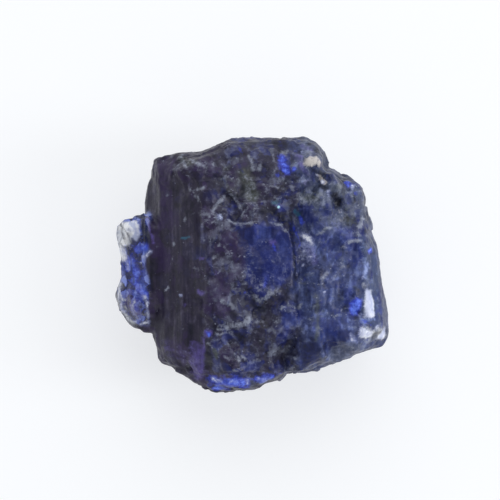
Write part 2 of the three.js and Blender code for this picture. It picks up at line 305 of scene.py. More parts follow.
# Marks of the front, by pixel: the half width in pixels, the strength, and the line or the single place
# Frost and pale flecks on the ledges and chips; where they run along a ledge's lip, they are painted
# highlights of the lip lit from above
FROST_AND_HIGHLIGHT_MARKS = {
    "top left chips": (3.4, 1.0, [(181, 158), (185, 166)]),
    "top left chips right": (3.2, 1.1, [(191, 156), (196, 164), (206, 168)]),
    "top left edge": (2.4, 0.6, [(172, 158), (180, 155), (200, 153)]),
    "top chip": (2.2, 0.6, [(213, 163), (219, 166)]),
    "streak by the top": (2.4, 1.2, [(251, 157), (254, 170)]),
    "streak foot": (2.4, 0.8, [(259, 166), (258, 172)]),
    "grey under the top": (6.0, 0.7, [(247, 178), (250, 190), (247, 202)]),
    "light by the left patch": (2.3, 0.9, [(198, 190), (205, 187)]),
    "left knot": (3.0, 0.7, [(193, 190), (200, 201)]),
    "left knot low": (3.8, 0.8, [(203, 211), (208, 218)]),
    "left knot foot": (2.8, 0.6, [(202, 225), (207, 228)]),
    "left slant": (2.8, 1.0, [(224, 198), (218, 203), (214, 211)]),
    "over the window left": (2.6, 0.8, [(231, 195), (235, 203), (239, 208)]),
    "window top": (1.8, 1.1, [(229, 219), (234, 222), (245, 224), (254, 223)]),
    "window fork": (1.7, 1.0, [(241, 215), (247, 210)]),
    "beside the fork": (2.6, 0.8, [(255, 206), (254, 214)]),
    "window top right": (1.9, 1.1, [(271, 223), (281, 225), (288, 231)]),
    "high slant": (1.8, 0.9, [(264, 184), (271, 188), (277, 190)]),
    "top fleck": (2.2, 0.9, [(272, 156), (273, 160)]),
    "top fleck right": (2.4, 0.9, [(281, 154), (288, 151)]),
    "left arm": (1.9, 0.8, [(214, 258), (218, 256)]),
    "left arm top": (1.8, 0.7, [(219, 246), (225, 247), (228, 253)]),
    "left leg": (2.2, 0.5, [(196, 267), (203, 276)]),
    "middle arc": (3.4, 0.9, [(252, 294), (258, 298), (267, 297), (273, 291)]),
    "window low flecks": (13.0, 0.45, [(246, 272), (262, 284), (280, 276)]),
    "window flecks": (8.0, 0.35, [(250, 256), (280, 262)]),
    "upper middle flecks": (14.0, 0.35, [(222, 180), (262, 196), (290, 190)]),
    "left low flecks": (10.0, 0.35, [(190, 350), (192, 366)]),
    "middle slant": (2.4, 0.9, [(223, 300), (228, 303), (233, 307)]),
    "grey knot": (4.0, 1.0, [(222, 327), (232, 325), (241, 324)]),
    "grey knot right": (3.0, 1.4, [(245, 321), (249, 319)]),
    "grey knot foot": (3.5, 0.7, [(218, 332), (232, 334)]),
    "under the pit": (2.2, 0.8, [(256, 322), (262, 321)]),
    "low fleck row": (2.2, 0.8, [(281, 308), (288, 305), (296, 309), (300, 305)]),
    "low wave": (2.0, 0.9, [(226, 356), (233, 358), (239, 361), (242, 357)]),
    "low wave right": (2.0, 1.0, [(243, 356), (249, 361), (256, 358)]),
    "low slant": (1.4, 0.9, [(229, 343), (234, 349), (238, 356)]),
    "low light": (2.4, 1.0, [(270, 352), (275, 351)]),
    "low streak": (1.8, 1.2, [(208, 342), (213, 346)]),
    "shoulder grey": (6.0, 0.7, [(300, 199), (310, 200), (320, 198)]),
    "shoulder pits": (2.4, 0.9, [(341, 202), (343, 209)]),
    "shoulder middle": (4.0, 0.6, [(342, 188), (348, 196)]),
    "shoulder low": (2.2, 0.9, [(320, 234), (328, 229)]),
    "shoulder edge": (2.2, 1.2, [(358, 226), (361, 220)]),
    "right arch": (2.8, 0.9, [(343, 247), (350, 241), (356, 240), (361, 242)]),
    "right arch side": (2.4, 0.8, [(352, 233), (358, 234)]),
    "right fleck": (2.4, 1.0, [(319, 277), (326, 274)]),
    "right fleck low": (2.2, 1.0, [(331, 279), (334, 277)]),
    "right pale": (3.0, 0.7, [(340, 262), (343, 270)]),
    "bevel top": (2.6, 0.8, [(363, 284), (363, 291)]),
    "low facet": (6.0, 0.5, [(335, 353), (350, 349), (366, 345)]),
    "notch side": (3.0, 0.6, [(288, 364), (294, 370)]),
    "left flecks": (1.3, 1.2, [(166, 292), (169, 287)]),
    "left fleck low": (1.3, 1.0, [(184, 327)]),
    "left fleck lowest": (1.2, 0.9, [(158, 310)]),
    "left fleck middle": (1.6, 0.8, [(186, 222), (187, 217)]),
    "left dash": (1.4, 1.0, [(175, 243), (174, 247)]),
    "left dash low": (1.2, 0.9, [(173, 259)]),
    "left hook": (1.9, 0.6, [(198, 236), (204, 241)]),
}
OLIVE = {
    "low streak": (1.9, 1.2, [(214, 348), (217, 357)]),
    "top left chips": (5.0, 0.7, [(180, 158), (196, 162)]),
    "shoulder": (6.0, 0.9, [(303, 198), (316, 197)]),
    "shoulder right": (6.0, 0.7, [(336, 188), (344, 200), (350, 222)]),
    "under the top": (9.0, 1.2, [(246, 176), (251, 196)]),
    "top middle": (12.0, 0.5, [(222, 165), (232, 190)]),
    "right ledge": (4.0, 0.8, [(320, 233), (328, 229)]),
    "low right": (7.0, 0.6, [(306, 290), (316, 300), (318, 318)]),
    "low right line": (2.6, 1.0, [(316, 300), (317, 318), (316, 340)]),
    "middle arc": (4.0, 0.6, [(258, 298), (270, 296)]),
}
GLOWING = {
    "top patch": (4.2, 1.0, [(281, 159), (283, 166), (287, 173)]),
    "top patch corner": (1.8, 1.3, [(293, 171)]),
    "top patch low": (2.4, 0.9, [(278, 175)]),
    "top edge": (2.6, 0.6, [(240, 150), (243, 153)]),
    "seam edge": (2.4, 1.0, [(300, 219), (302, 224)]),
    "seam line": (1.3, 0.8, [(294, 228), (297, 238), (298, 246)]),
    "window flash": (1.8, 0.8, [(273, 244), (275, 251)]),
    "window foot": (2.4, 0.55, [(266, 276), (265, 284)]),
    "middle spot": (2.2, 0.6, [(244, 293)]),
    "right spot": (4.8, 1.4, [(355, 302), (353, 309)]),
    "right bevel spot": (2.6, 1.2, [(368, 252)]),
    "knob left": (6.4, 0.95, [(213, 379), (221, 381), (232, 381)]),
    "knob middle": (5.6, 1.15, [(234, 381), (244, 382)]),
    "knob rim": (4.2, 0.95, [(216, 389), (230, 391), (246, 387)]),
    "knob right": (4.2, 1.0, [(255, 378), (264, 377), (272, 376)]),
    "knob end": (2.0, 0.6, [(277, 375), (281, 374)]),
    "lobe patch": (4.4, 1.0, [(137, 248), (146, 247)]),
    "lobe middle": (6.0, 1.05, [(130, 260), (136, 276)]),
    "lobe side": (2.6, 0.8, [(125, 262), (126, 271)]),
    "lobe streak": (3.4, 1.1, [(132, 280), (139, 287), (147, 294)]),
    "violet spot": (2.2, 1.1, [(209, 331), (211, 333)]),
    "shoulder blue": (3.0, 0.7, [(345, 181), (349, 185)]),
    "shoulder blue low": (2.4, 0.7, [(356, 193)]),
    "corner blue": (2.6, 0.7, [(362, 320), (370, 324)]),
}
SPARKLING = {
    "over the window": (1.7, 1.0, [(278, 207)]),
}
VIOLET = {
    "left spot": (2.2, 1.0, [(202, 258)]),
    "left low spot": (2.4, 1.1, [(199, 291), (203, 292)]),
    "left spot right": (3.0, 0.6, [(217, 272)]),
    "left spot low": (2.2, 0.7, [(186, 305)]),
    "low spot": (3.2, 1.2, [(208, 332), (212, 331)]),
    "low band": (7.5, 0.9, [(196, 348), (197, 358), (198, 372)]),
    "low band edge": (2.0, 1.0, [(203, 338), (205, 350), (203, 362), (201, 372)]),
    "low left facet": (12.0, 0.4, [(168, 348), (184, 356)]),
    "top purple": (4.5, 0.7, [(298, 158), (301, 168)]),
    "top edge purple": (3.0, 0.6, [(304, 148), (311, 150)]),
    "under the top facet": (5.0, 0.5, [(306, 172), (306, 182)]),
    "window flash": (2.6, 0.9, [(270, 243), (275, 242)]),
    "beside the lobe": (1.4, 1.0, [(153, 298)]),
    "slab edge": (1.6, 1.0, [(147, 217), (150, 229), (153, 242)]),
    "lump": (8.0, 0.8, [(127, 298), (137, 312)]),
    "seam": (5.0, 0.6, [(308, 248), (312, 262)]),
}
# Painted highlights and reflections: the white band on the glassy bevel, the glassy corner, the reflection by
# the seam, glints and white specks, and light shining through the lobe and the knob
PAINTED_HIGHLIGHTS = {
    "seam reflection": (3.8, 1.15, [(303, 236), (309, 241)]),
    "seam halo": (6.0, 0.7, [(304, 247), (309, 258)]),
    "top lilac": (2.0, 0.8, [(302, 153)]),
    "bevel streak": (1.9, 0.5, [(366, 262), (365, 270), (362, 278)]),
    "bevel band": (4.6, 0.7, [(367, 292), (368, 303), (367, 313)]),
    "bevel band core": (2.4, 0.9, [(368, 300), (368, 314)]),
    "bevel band foot": (2.0, 0.7, [(360, 313), (364, 312)]),
    "corner left": (2.6, 0.9, [(361, 329), (362, 334)]),
    "corner middle": (2.2, 0.8, [(366, 334), (370, 333)]),
    "corner right": (2.0, 0.9, [(380, 338), (383, 331)]),
    "corner fleck": (1.8, 0.8, [(376, 326)]),
    "lobe window": (2.8, 1.0, [(136, 231), (137, 237)]),
    "corner link": (1.8, 0.8, [(350, 332), (354, 339)]),
    "shoulder spot": (2.6, 1.1, [(352, 187)]),
    "shoulder spot low": (1.8, 0.7, [(359, 212)]),
    "shoulder streak": (1.5, 0.9, [(328, 191), (329, 197)]),
    "light chip": (3.2, 0.75, [(220, 216), (222, 219)]),
    "white speck": (1.7, 1.1, [(317, 177)]),
    "white speck low": (1.6, 1.2, [(322, 182)]),
    "right glint": (1.4, 1.2, [(322, 290)]),
    "seam dot": (1.4, 1.0, [(301, 265)]),
    "left fleck": (1.3, 1.1, [(181, 296)]),
    "lobe light": (2.6, 0.8, [(145, 256), (151, 253)]),
    "lobe dot": (1.4, 1.0, [(142, 262)]),
    "lobe side": (1.8, 0.7, [(125, 264), (126, 270)]),
    "lobe streak end": (2.4, 0.9, [(146, 296), (148, 304)]),
    "lobe streak foot": (1.6, 0.7, [(148, 306), (149, 317)]),
    "lump side": (1.8, 1.0, [(120, 292), (124, 300)]),
    "lump streak": (2.4, 0.65, [(134, 302), (132, 311), (136, 319)]),
    "lump foot": (1.8, 0.8, [(141, 325), (149, 321)]),
    "knob light": (2.6, 0.85, [(213, 378), (220, 380)]),
    "knob light right": (1.8, 0.8, [(246, 379), (247, 383)]),
    "knob light middle": (2.0, 0.45, [(229, 380), (236, 381)]),
    "knob light end": (2.4, 0.7, [(258, 377), (268, 379)]),
}
# Clear parts of the lobe and the glassy corner, painted pale for the light shining through them
CLEAR = {
    "lobe top": (6.0, 1.1, [(121, 228), (124, 240)]),
    "lobe side": (5.0, 0.8, [(119, 236), (121, 258)]),
    "lump rim": (3.4, 0.6, [(120, 284), (118, 296), (123, 312), (132, 324)]),
    "lump": (9.0, 0.2, [(126, 292), (131, 308)]),
    "corner": (7.0, 0.5, [(364, 332), (381, 333)]),
}
# Warm pale marks: a painted reflection on the top facet, and painted glints with a faint pale patch on the
# shoulder
WARM_HIGHLIGHTS = {
    "top facet": (3.4, 1.15, [(306, 164), (312, 161), (319, 163)]),
    "shoulder specks": (2.2, 0.9, [(318, 177), (323, 182)]),
    "shoulder": (5.0, 0.4, [(338, 212), (344, 226)]),
}
# Teal patches; the one over the window is the painted halo of a glint
CYAN = {
    "over the window": (2.2, 0.6, [(270, 203), (280, 202)]),
    "seam": (2.4, 1.0, [(295, 212), (298, 216)]),
    "left": (1.9, 0.9, [(184, 238), (191, 237)]),
    "light chip": (3.6, 0.6, [(221, 217)]),
}
# Dark marks: the seam's dark crack and the lobe's navy-black slab, which are the stone's own, and painted
# shade in the pits and hollows, under ledges and facets, in the crevice beside the lobe and along the lobe's
# outline
INK_AND_SHADE_MARKS = {
    "seam": (1.9, 0.95, [(290, 214), (292, 234), (293, 245), (293, 258), (294, 275)]),
    "seam low": (2.4, 0.7, [(294, 275), (295, 296), (296, 316)]),
    "low facet": (8.0, 0.7, [(306, 346), (308, 362)]),
    "corner cleft": (2.6, 1.0, [(373, 336), (376, 333), (379, 333)]),
    "top": (9.0, 0.4, [(232, 152), (244, 164)]),
    "lobe outline": (1.2, 0.9, [
        (148, 217), (132, 217), (122, 222), (117, 231), (117, 244), (120, 258), (121, 268), (118, 280),
        (116, 293), (118, 307), (125, 319), (135, 327), (149, 330),
    ]),
    "lobe top lines": (1.1, 0.9, [(121, 226), (127, 236), (131, 244)]),
    "lobe middle lines": (1.4, 0.8, [(127, 250), (131, 262), (130, 274), (134, 284)]),
    "lump lines": (1.4, 0.8, [(123, 284), (129, 296), (128, 308), (134, 320)]),
    "over the window": (4.5, 0.9, [(262, 212), (276, 215), (288, 221)]),
    "shoulder pit": (3.4, 1.2, [(333, 197), (336, 203)]),
    "shoulder cleft": (2.8, 1.1, [(319, 187), (326, 189)]),
    "shoulder hollow": (3.4, 0.8, [(348, 219), (354, 222)]),
    "pit under the ledge": (5.0, 1.1, [(255, 306), (263, 308)]),
    "middle pit": (3.5, 0.8, [(229, 311), (233, 314)]),
    "under the grey knot": (3.4, 0.9, [(237, 333), (241, 337)]),
    "notch": (4.0, 0.4, [(281, 350), (283, 366)]),
    "under the middle arc": (7.0, 0.55, [(236, 303), (250, 311)]),
    "lobe slab": (3.4, 1.0, [(143, 224), (145, 233), (147, 242)]),
    "lobe hollow": (3.6, 0.55, [(134, 255), (138, 262)]),
    "lobe hollow low": (2.6, 0.55, [(138, 275), (141, 280)]),
    "lobe outer lines": (1.2, 0.7, [(121, 230), (125, 240), (128, 250)]),
    "lump heart": (5.0, 0.8, [(143, 307), (146, 316)]),
    # A painted shadow along the top edge and its right corner
    "top edge": (4.0, 0.8, [(232, 143), (262, 144), (290, 147)]),
    "top right corner": (4.5, 1.1, [(318, 151), (321, 156)]),
    "under the top facet": (3.4, 0.9, [(314, 171), (320, 173)]),
    "top hollow": (4.0, 0.8, [(248, 170), (250, 172)]),
    "grey hollow": (3.4, 0.8, [(242, 185), (242, 196)]),
    "knob hollow": (4.5, 1.0, [(210, 353), (210, 362)]),
    "left hollow": (6.0, 0.7, [(188, 205), (190, 215)]),
    "left low hollow": (4.0, 0.9, [(192, 325), (193, 331)]),
    "beside the lobe": (3.0, 0.8, [(153, 262), (153, 300)]),
    "right pocket": (3.0, 1.0, [(355, 315)]),
    "right pocket high": (3.0, 0.8, [(354, 286), (357, 290)]),
}
DEEP_BLUE = {
    "window": (17.0, 1.0, [(250, 238), (262, 252), (272, 268)]),
    "window right": (9.0, 1.0, [(282, 238), (285, 262)]),
    "window low left": (7.0, 1.1, [(252, 278), (258, 286)]),
    "under the top": (9.0, 0.9, [(272, 190), (290, 200)]),
    "low facet": (8.0, 1.3, [(309, 348), (308, 362)]),
    "right flat": (8.0, 1.2, [(326, 328), (328, 346)]),
    "low flat": (7.0, 1.0, [(288, 316), (285, 326)]),
    "right streaks": (7.0, 0.9, [(328, 238), (332, 254)]),
    "shoulder streak": (3.6, 1.1, [(326, 203), (327, 213)]),
    "shoulder left": (6.0, 1.0, [(305, 210), (312, 222)]),
    "shoulder low": (7.0, 0.9, [(338, 232), (350, 234)]),
    "shoulder top": (6.0, 0.7, [(334, 178), (344, 184)]),
    "left patch": (5.0, 1.1, [(209, 196), (213, 200)]),
    "lower middle": (12.0, 1.1, [(292, 315), (285, 335)]),
    "low middle": (12.0, 0.7, [(222, 352), (258, 362)]),
    "under the waves": (6.0, 0.7, [(222, 362), (238, 370)]),
}
MARK_TABLES = {
    "frost_and_highlight": FROST_AND_HIGHLIGHT_MARKS, "olive": OLIVE, "glowing": GLOWING, "sparkling": SPARKLING, "violet": VIOLET,
    "pale": PAINTED_HIGHLIGHTS, "clear": CLEAR, "warm_highlight": WARM_HIGHLIGHTS, "cyan": CYAN, "ink_and_shade": INK_AND_SHADE_MARKS, "deep_blue": DEEP_BLUE,
}

# The crack along the seam of the two prisms, by pixel
SEAM_CRACK = [
    (300, 212), (293, 222), (293, 234), (295, 248), (296, 262), (296, 276), (299, 296), (298, 318),
]

# Flat cleaved facets of the front, by the pixels of their corners, clockwise
NAVY_FACETS = {
    "low": [(300, 340), (317, 340), (321, 352), (320, 361), (303, 370), (299, 358)],
    "window left": [(236, 228), (254, 227), (255, 245), (239, 249)],
    "low right": [(335, 330), (347, 327), (353, 337), (338, 344)],
    "window low": [(251, 270), (262, 268), (263, 283), (252, 286)],
    "lobe slab": [(140, 221), (144, 217), (149, 228), (152, 245), (147, 244), (140, 240)],
    "corner": [(363, 322), (371, 322), (373, 329), (366, 328)],
}
BLUE_FACETS = {
    "low right": [(320, 323), (332, 322), (336, 335), (331, 342), (319, 344)],
    "window middle": [(257, 226), (272, 227), (271, 240), (258, 241)],
    "window right": [(277, 241), (288, 238), (290, 261), (279, 264)],
    "lower middle": [(281, 312), (293, 310), (295, 325), (283, 328)],
}
SLATE_FACETS = {
    "low": [(330, 345), (349, 340), (361, 344), (371, 350), (354, 358), (336, 367), (327, 361)],
    "bevel top": [(361, 282), (366, 282), (368, 290), (361, 290)],
    "knob gap": [(247, 376), (256, 375), (257, 384), (249, 387)],
}
# Bright blue facets: painted glow of light shining through the lobe and the knob's thin edge
SKY_FACETS = {
    "lobe patch": [(136, 249), (141, 243), (149, 246), (151, 251), (144, 255), (137, 254)],
    "lobe streak": [(137, 281), (141, 278), (148, 289), (150, 299), (147, 303), (143, 297)],
    "knob middle": [(223, 377), (236, 377), (241, 381), (240, 387), (226, 387), (222, 382)],
}
# Greyish blue facets: painted glow along the knob's thin edge, and painted reflections on the bevel
MISTY_FACETS = {
    "bevel foot": [(359, 317), (374, 317), (374, 320), (362, 324), (357, 321)],
    "bevel streak": [(363, 262), (367, 260), (368, 266), (364, 277), (361, 280), (362, 270)],
    "knob light": [(211, 376), (216, 376), (222, 380), (222, 382), (213, 381)],
    "knob foot": [(214, 383), (222, 383), (227, 388), (224, 391), (215, 388)],
    "knob right": [(256, 376), (272, 375), (272, 380), (262, 384), (256, 382)],
}
# Painted highlights on flat facets: the bevel's white band, the glassy corner, and the lit top of the clear
# lobe
HIGHLIGHT_FACETS = {
    "bevel band": [(364, 289), (370, 289), (374, 302), (374, 314), (372, 317), (361, 317)],
    "corner left": [(359, 325), (371, 331), (372, 335), (363, 338), (357, 336)],
    "corner right": [(379, 331), (384, 328), (386, 335), (382, 339), (374, 339)],
    "corner arc": [(371, 329), (376, 325), (378, 328), (373, 332)],
    "lobe top": [(124, 221), (136, 219), (140, 224), (140, 239), (137, 242), (128, 237), (122, 228)],
}
FACET_TABLES = {
    "navy_facet": NAVY_FACETS, "blue_facet": BLUE_FACETS, "slate_facet": SLATE_FACETS,
    "sky_facet": SKY_FACETS, "misty_facet": MISTY_FACETS, "pale_facet": HIGHLIGHT_FACETS,
}


def marks(flat, table):
    """How much each point is in one of the marks of a table, which fall to half at their half width."""
    total = np.zeros(len(flat))
    for half_width, strength, line in table.values():
        distance, _ = line_distance(flat, from_pixels(line))
        total = np.maximum(total, strength * 2 ** -((distance / (half_width * MM_PER_PIXEL)) ** 2))
    return total


def facets(flat, table):
    """How much each point is in one of the flat facets of a table: 1 inside, 0 outside."""
    total = np.zeros(len(flat))
    for corners in table.values():
        ring = from_pixels(corners)
        inside = np.full(len(flat), np.inf)
        for start, end in zip(ring, np.roll(ring, -1, axis=0)):
            run = end - start
            gap = flat - start
            inside = np.minimum(inside, (run[1] * gap[:, 0] - run[0] * gap[:, 1]) / np.hypot(*run))
        total = np.maximum(total, smooth_step(*FACET_EDGE, inside))
    return total


def zones(base):
    """Stretches of the crystal that have a surface of their own, each from 0 to 1.

    Each one starts and ends between two places, in millimetres.
    """
    x, y, z = base.T
    from_window = np.hypot((x - 1.1) / 1.6, (y - 0.4) / 1.7)
    return {
        "left_face": smooth_step(-2.2, -3.0, x) * smooth_step(5.6, 4.4, np.abs(y))
        * smooth_step(-7.4, -6.0, x),
        "window": smooth_step(1.25, 0.75, from_window) * smooth_step(5, 7, z),
        "right_face": smooth_step(2.6, 3.3, x) * smooth_step(7.0, 6.4, x) * smooth_step(5, 6, z),
        "right_bevel": np.maximum(
            smooth_step(6.2, 6.7, x) * smooth_step(2.1, 1.1, y),
            smooth_step(4.1, 4.8, x) * smooth_step(-4.3, -4.6, y),
        ),
        "shoulder": smooth_step(2.4, 3.2, x) * smooth_step(1.5, 2.5, y),
        "lobe": smooth_step(-5.8, -6.15, x) * smooth_step(3.0, 3.5, z)
        * smooth_step(*LOBE_TOP, y) * smooth_step(*LOBE_FOOT, y),
    }


# Chips of each kind of surface: their size and depth in millimetres, weight in the tone, and seed
BREAKAGE = [
    ((1.6, 1.2, 1.4), 0.1, 0.5, 110),
    ((0.8, 0.65, 0.75), 0.06, 1.0, 130),
    ((0.42, 0.4, 0.4), 0.03, 0.6, 150),
]
GRANULAR = [
    ((1.1, 1.3, 1.1), 0.07, 0.5, 210),
    ((0.5, 0.65, 0.5), 0.045, 1.0, 230),
    ((0.3, 0.4, 0.3), 0.02, 0.6, 250),
]
STRIATED = [
    ((0.9, 9.0, 0.9), 0.015, 0.4, 310),
    ((0.4, 3.5, 0.6), 0.012, 0.6, 330),
    ((0.6, 1.2, 0.6), 0.015, 0.3, 350),
]
GLASSY = [
    ((1.0, 1.4, 1.0), 0.12, 1.0, 410),
    ((0.5, 0.8, 0.5), 0.05, 0.5, 430),
]


def chipped(points, layers):
    """One kind of broken surface: its relief in millimetres, its tone from 0 to 1, and its worn edges."""
    relief = np.zeros(len(points))
    tone = np.zeros(len(points))
    worn = np.zeros(len(points))
    weight = sum(share for _, _, share, _ in layers)
    for size, depth, share, seed in layers:
        shaken = warped(points, CHIP_SHAKE * min(size), CHIP_SHAKE_SIZE * min(size), seed + 10)
        height, chip_tone, edge = chips(shaken, size, seed)
        relief += depth * height
        tone += chip_tone * share / weight
        worn = np.maximum(worn, edge * share)
    return relief, tone, worn


def broken_surface(base, zone):
    """The relief, tone and worn edges of the whole skin, with each kind of surface in its own zones."""
    calm = np.clip(0.55 * zone["window"] + 0.7 * zone["right_bevel"], 0, 1)
    glassy = zone["lobe"]
    striated = np.maximum(zone["left_face"], 0.3 * zone["right_bevel"]) * (1 - glassy)
    granular = np.maximum(zone["right_face"], 0.7 * zone["right_bevel"]) * (1 - striated)
    breakage = (1 - striated) * (1 - granular) * (1 - calm) * (1 - glassy)
    relief = np.zeros(len(base))
    tone = np.full(len(base), 0.5)
    worn = np.zeros(len(base))
    for share, layers in (
        (breakage, BREAKAGE), (granular, GRANULAR), (striated, STRIATED), (glassy, GLASSY),
    ):
        own_relief, own_tone, own_wear = chipped(base, layers)
        relief += share * own_relief
        tone += share * (own_tone - 0.5)
        worn += share * own_wear
    return relief, tone, worn


def ledge_relief(flat, facing_up):
    """The named ledges of the front: the change in height, and how much each point is on a ledge's lip."""
    relief = np.zeros(len(flat))
    crest = np.zeros(len(flat))
    here = np.column_stack([flat, np.zeros(len(flat))])
    broken = smooth_step(-0.5, 0.3, noise(here, size=(0.5, 0.5, 1), seed=71))
    for lower_side, line in LEDGES.values():
        distance, side = line_distance(flat, from_pixels(line))
        lowered = side if lower_side == "upper" else -side
        cliff = smooth_step(0, LEDGE_FACE, lowered * distance) * np.exp(-distance / LEDGE_REACH)
        lip = np.exp(-((distance / LIP_WIDTH) ** 2)) * broken
        relief += LEDGE_LIP * lip - LEDGE_DROP * cliff * (0.3 + 0.7 * broken)
        crest = np.maximum(crest, lip)
    crack, _ = line_distance(flat, from_pixels(SEAM_CRACK))
    relief -= CRACK_DEPTH * np.exp(-((crack / CRACK_WIDTH) ** 2)) * broken
    return relief * facing_up, crest * facing_up


def thin_lobe(points):
    """Points of the solid, with the clear lobe drawn in to a thin edge at its outer top."""
    x, y, z = points.T
    lower = smooth_step(0.5, -1.1, y)
    middle = LOBE_MIDDLE - 0.3 * lower + LOBE_TILT * (x - LOBE_X)
    outer = smooth_step(-5.9, -6.3, x) * smooth_step(*LOBE_RIM_FOOT, y) * smooth_step(*LOBE_TOP, y)
    thinness = outer * (0.5 - 0.4 * lower)
    return np.stack([x, y, z - thinness * (z - middle)], axis=1)


def build_skin(node):
    """The crystal's skin, in millimetres, with its relief and each attribute that the material reads."""
    mesh = fine_copy(node)
    edges = edges_of(mesh)
    solid = thin_lobe(vectors(mesh.vertices, "co"))
    base = blurred(solid, edges, SOFTENING_ROUNDS, shares=SHRINK_THEN_GROW)
    back = solid[:, 2] < FLAT_BACK
    base[back, 2] = np.maximum(solid[back, 2], 0)
    move_to(mesh, base)
    normals = blurred(vectors(mesh.vertices, "normal"), edges, NORMAL_ROUNDS)
    normals /= np.linalg.norm(normals, axis=1)[:, None]

    zone = zones(warped(base, amount=0.3, size=1.2, seed=65))
    facing_up = smooth_step(*FACES_UP, normals[:, 2]) * smooth_step(*FRONT_FROM, base[:, 2] + zone["lobe"])
    bent = warped(base, amount=0.1, size=0.7, seed=61)
    wavy = warped(bent, amount=0.06, size=0.25, seed=67)[:, :2]
    straight = warped(base, amount=0.04, size=0.3, seed=69)[:, :2]
    ledge, crest = ledge_relief(wavy, facing_up)
    cleaved = {name: facets(straight, table) * facing_up for name, table in FACET_TABLES.items()}
    smooth = np.maximum.reduce(list(cleaved.values()))
    sunken = np.maximum(cleaved["navy_facet"], cleaved["blue_facet"])
    relief, tone, worn = broken_surface(base, zone)
    relief = blurred(relief, edges, 1) * (1 - 0.7 * smooth) - FACET_DEPTH * sunken
    relief += ledge + WAVE_HEIGHT * rough_noise(base, size=(0.9, 0.9, 0.9), seed=44)
    relief *= smooth_step(0.0, RELIEF_FROM, base[:, 2]) * ~back
    move_to(mesh, base + relief[:, None] * normals)

    above = relief - blurred(relief, edges, RIDGE_ROUNDS)
    below = blurred(relief, edges, HOLLOW_ROUNDS) - relief
    stored = {
        "ridge": np.clip(above / RIDGE_HEIGHT, 0, 1),
        "hollow": np.clip(below / HOLLOW_DEPTH, 0, 1),
        "tone": tone,
        "worn": np.maximum(worn, crest),
        "crest": crest,
        "steep": smooth_step(*STEEP_SIDE, np.abs(normals[:, 2])),
    }
    for name in ("left_face", "window", "right_bevel", "shoulder", "lobe"):
        stored[name] = zone[name]
    for name, values in cleaved.items():
        stored[name] = blurred(values, edges, FACET_EDGE_ROUNDS)
    for name, table in MARK_TABLES.items():
        stored[name] = marks(wavy, table) * facing_up
    for name, values in stored.items():
        store(mesh, name, values)
    return mesh


# Materials

class Wire:
    """A socket that can stand in a Python expression, which adds its Math nodes."""

    def __init__(self, paint, socket):
        self.paint = paint
        self.socket = socket

    def maths(self, operation, *values):
        return self.paint.node("ShaderNodeMath", {"operation": operation}, dict(enumerate(values)))

    def __add__(self, other):
        return self.maths("ADD", self, other)

    def __radd__(self, other):
        return self.maths("ADD", other, self)

    def __sub__(self, other):
        return self.maths("SUBTRACT", self, other)

    def __rsub__(self, other):
        return self.maths("SUBTRACT", other, self)

    def __mul__(self, other):
        return self.maths("MULTIPLY", self, other)

    def __rmul__(self, other):
        return self.maths("MULTIPLY", other, self)

    def limited(self):
        """Held between 0 and 1."""
        return self.paint.node("ShaderNodeClamp", None, {"Value": self})

    def between(self, low, high):
        """0 up to low and 1 from high, with a smooth rise."""
        settings = {"interpolation_type": "SMOOTHSTEP"}
        values = {"Value": self, "From Min": low, "From Max": high, "To Min": 0.0, "To Max": 1.0}
        return self.paint.node("ShaderNodeMapRange", settings, values)


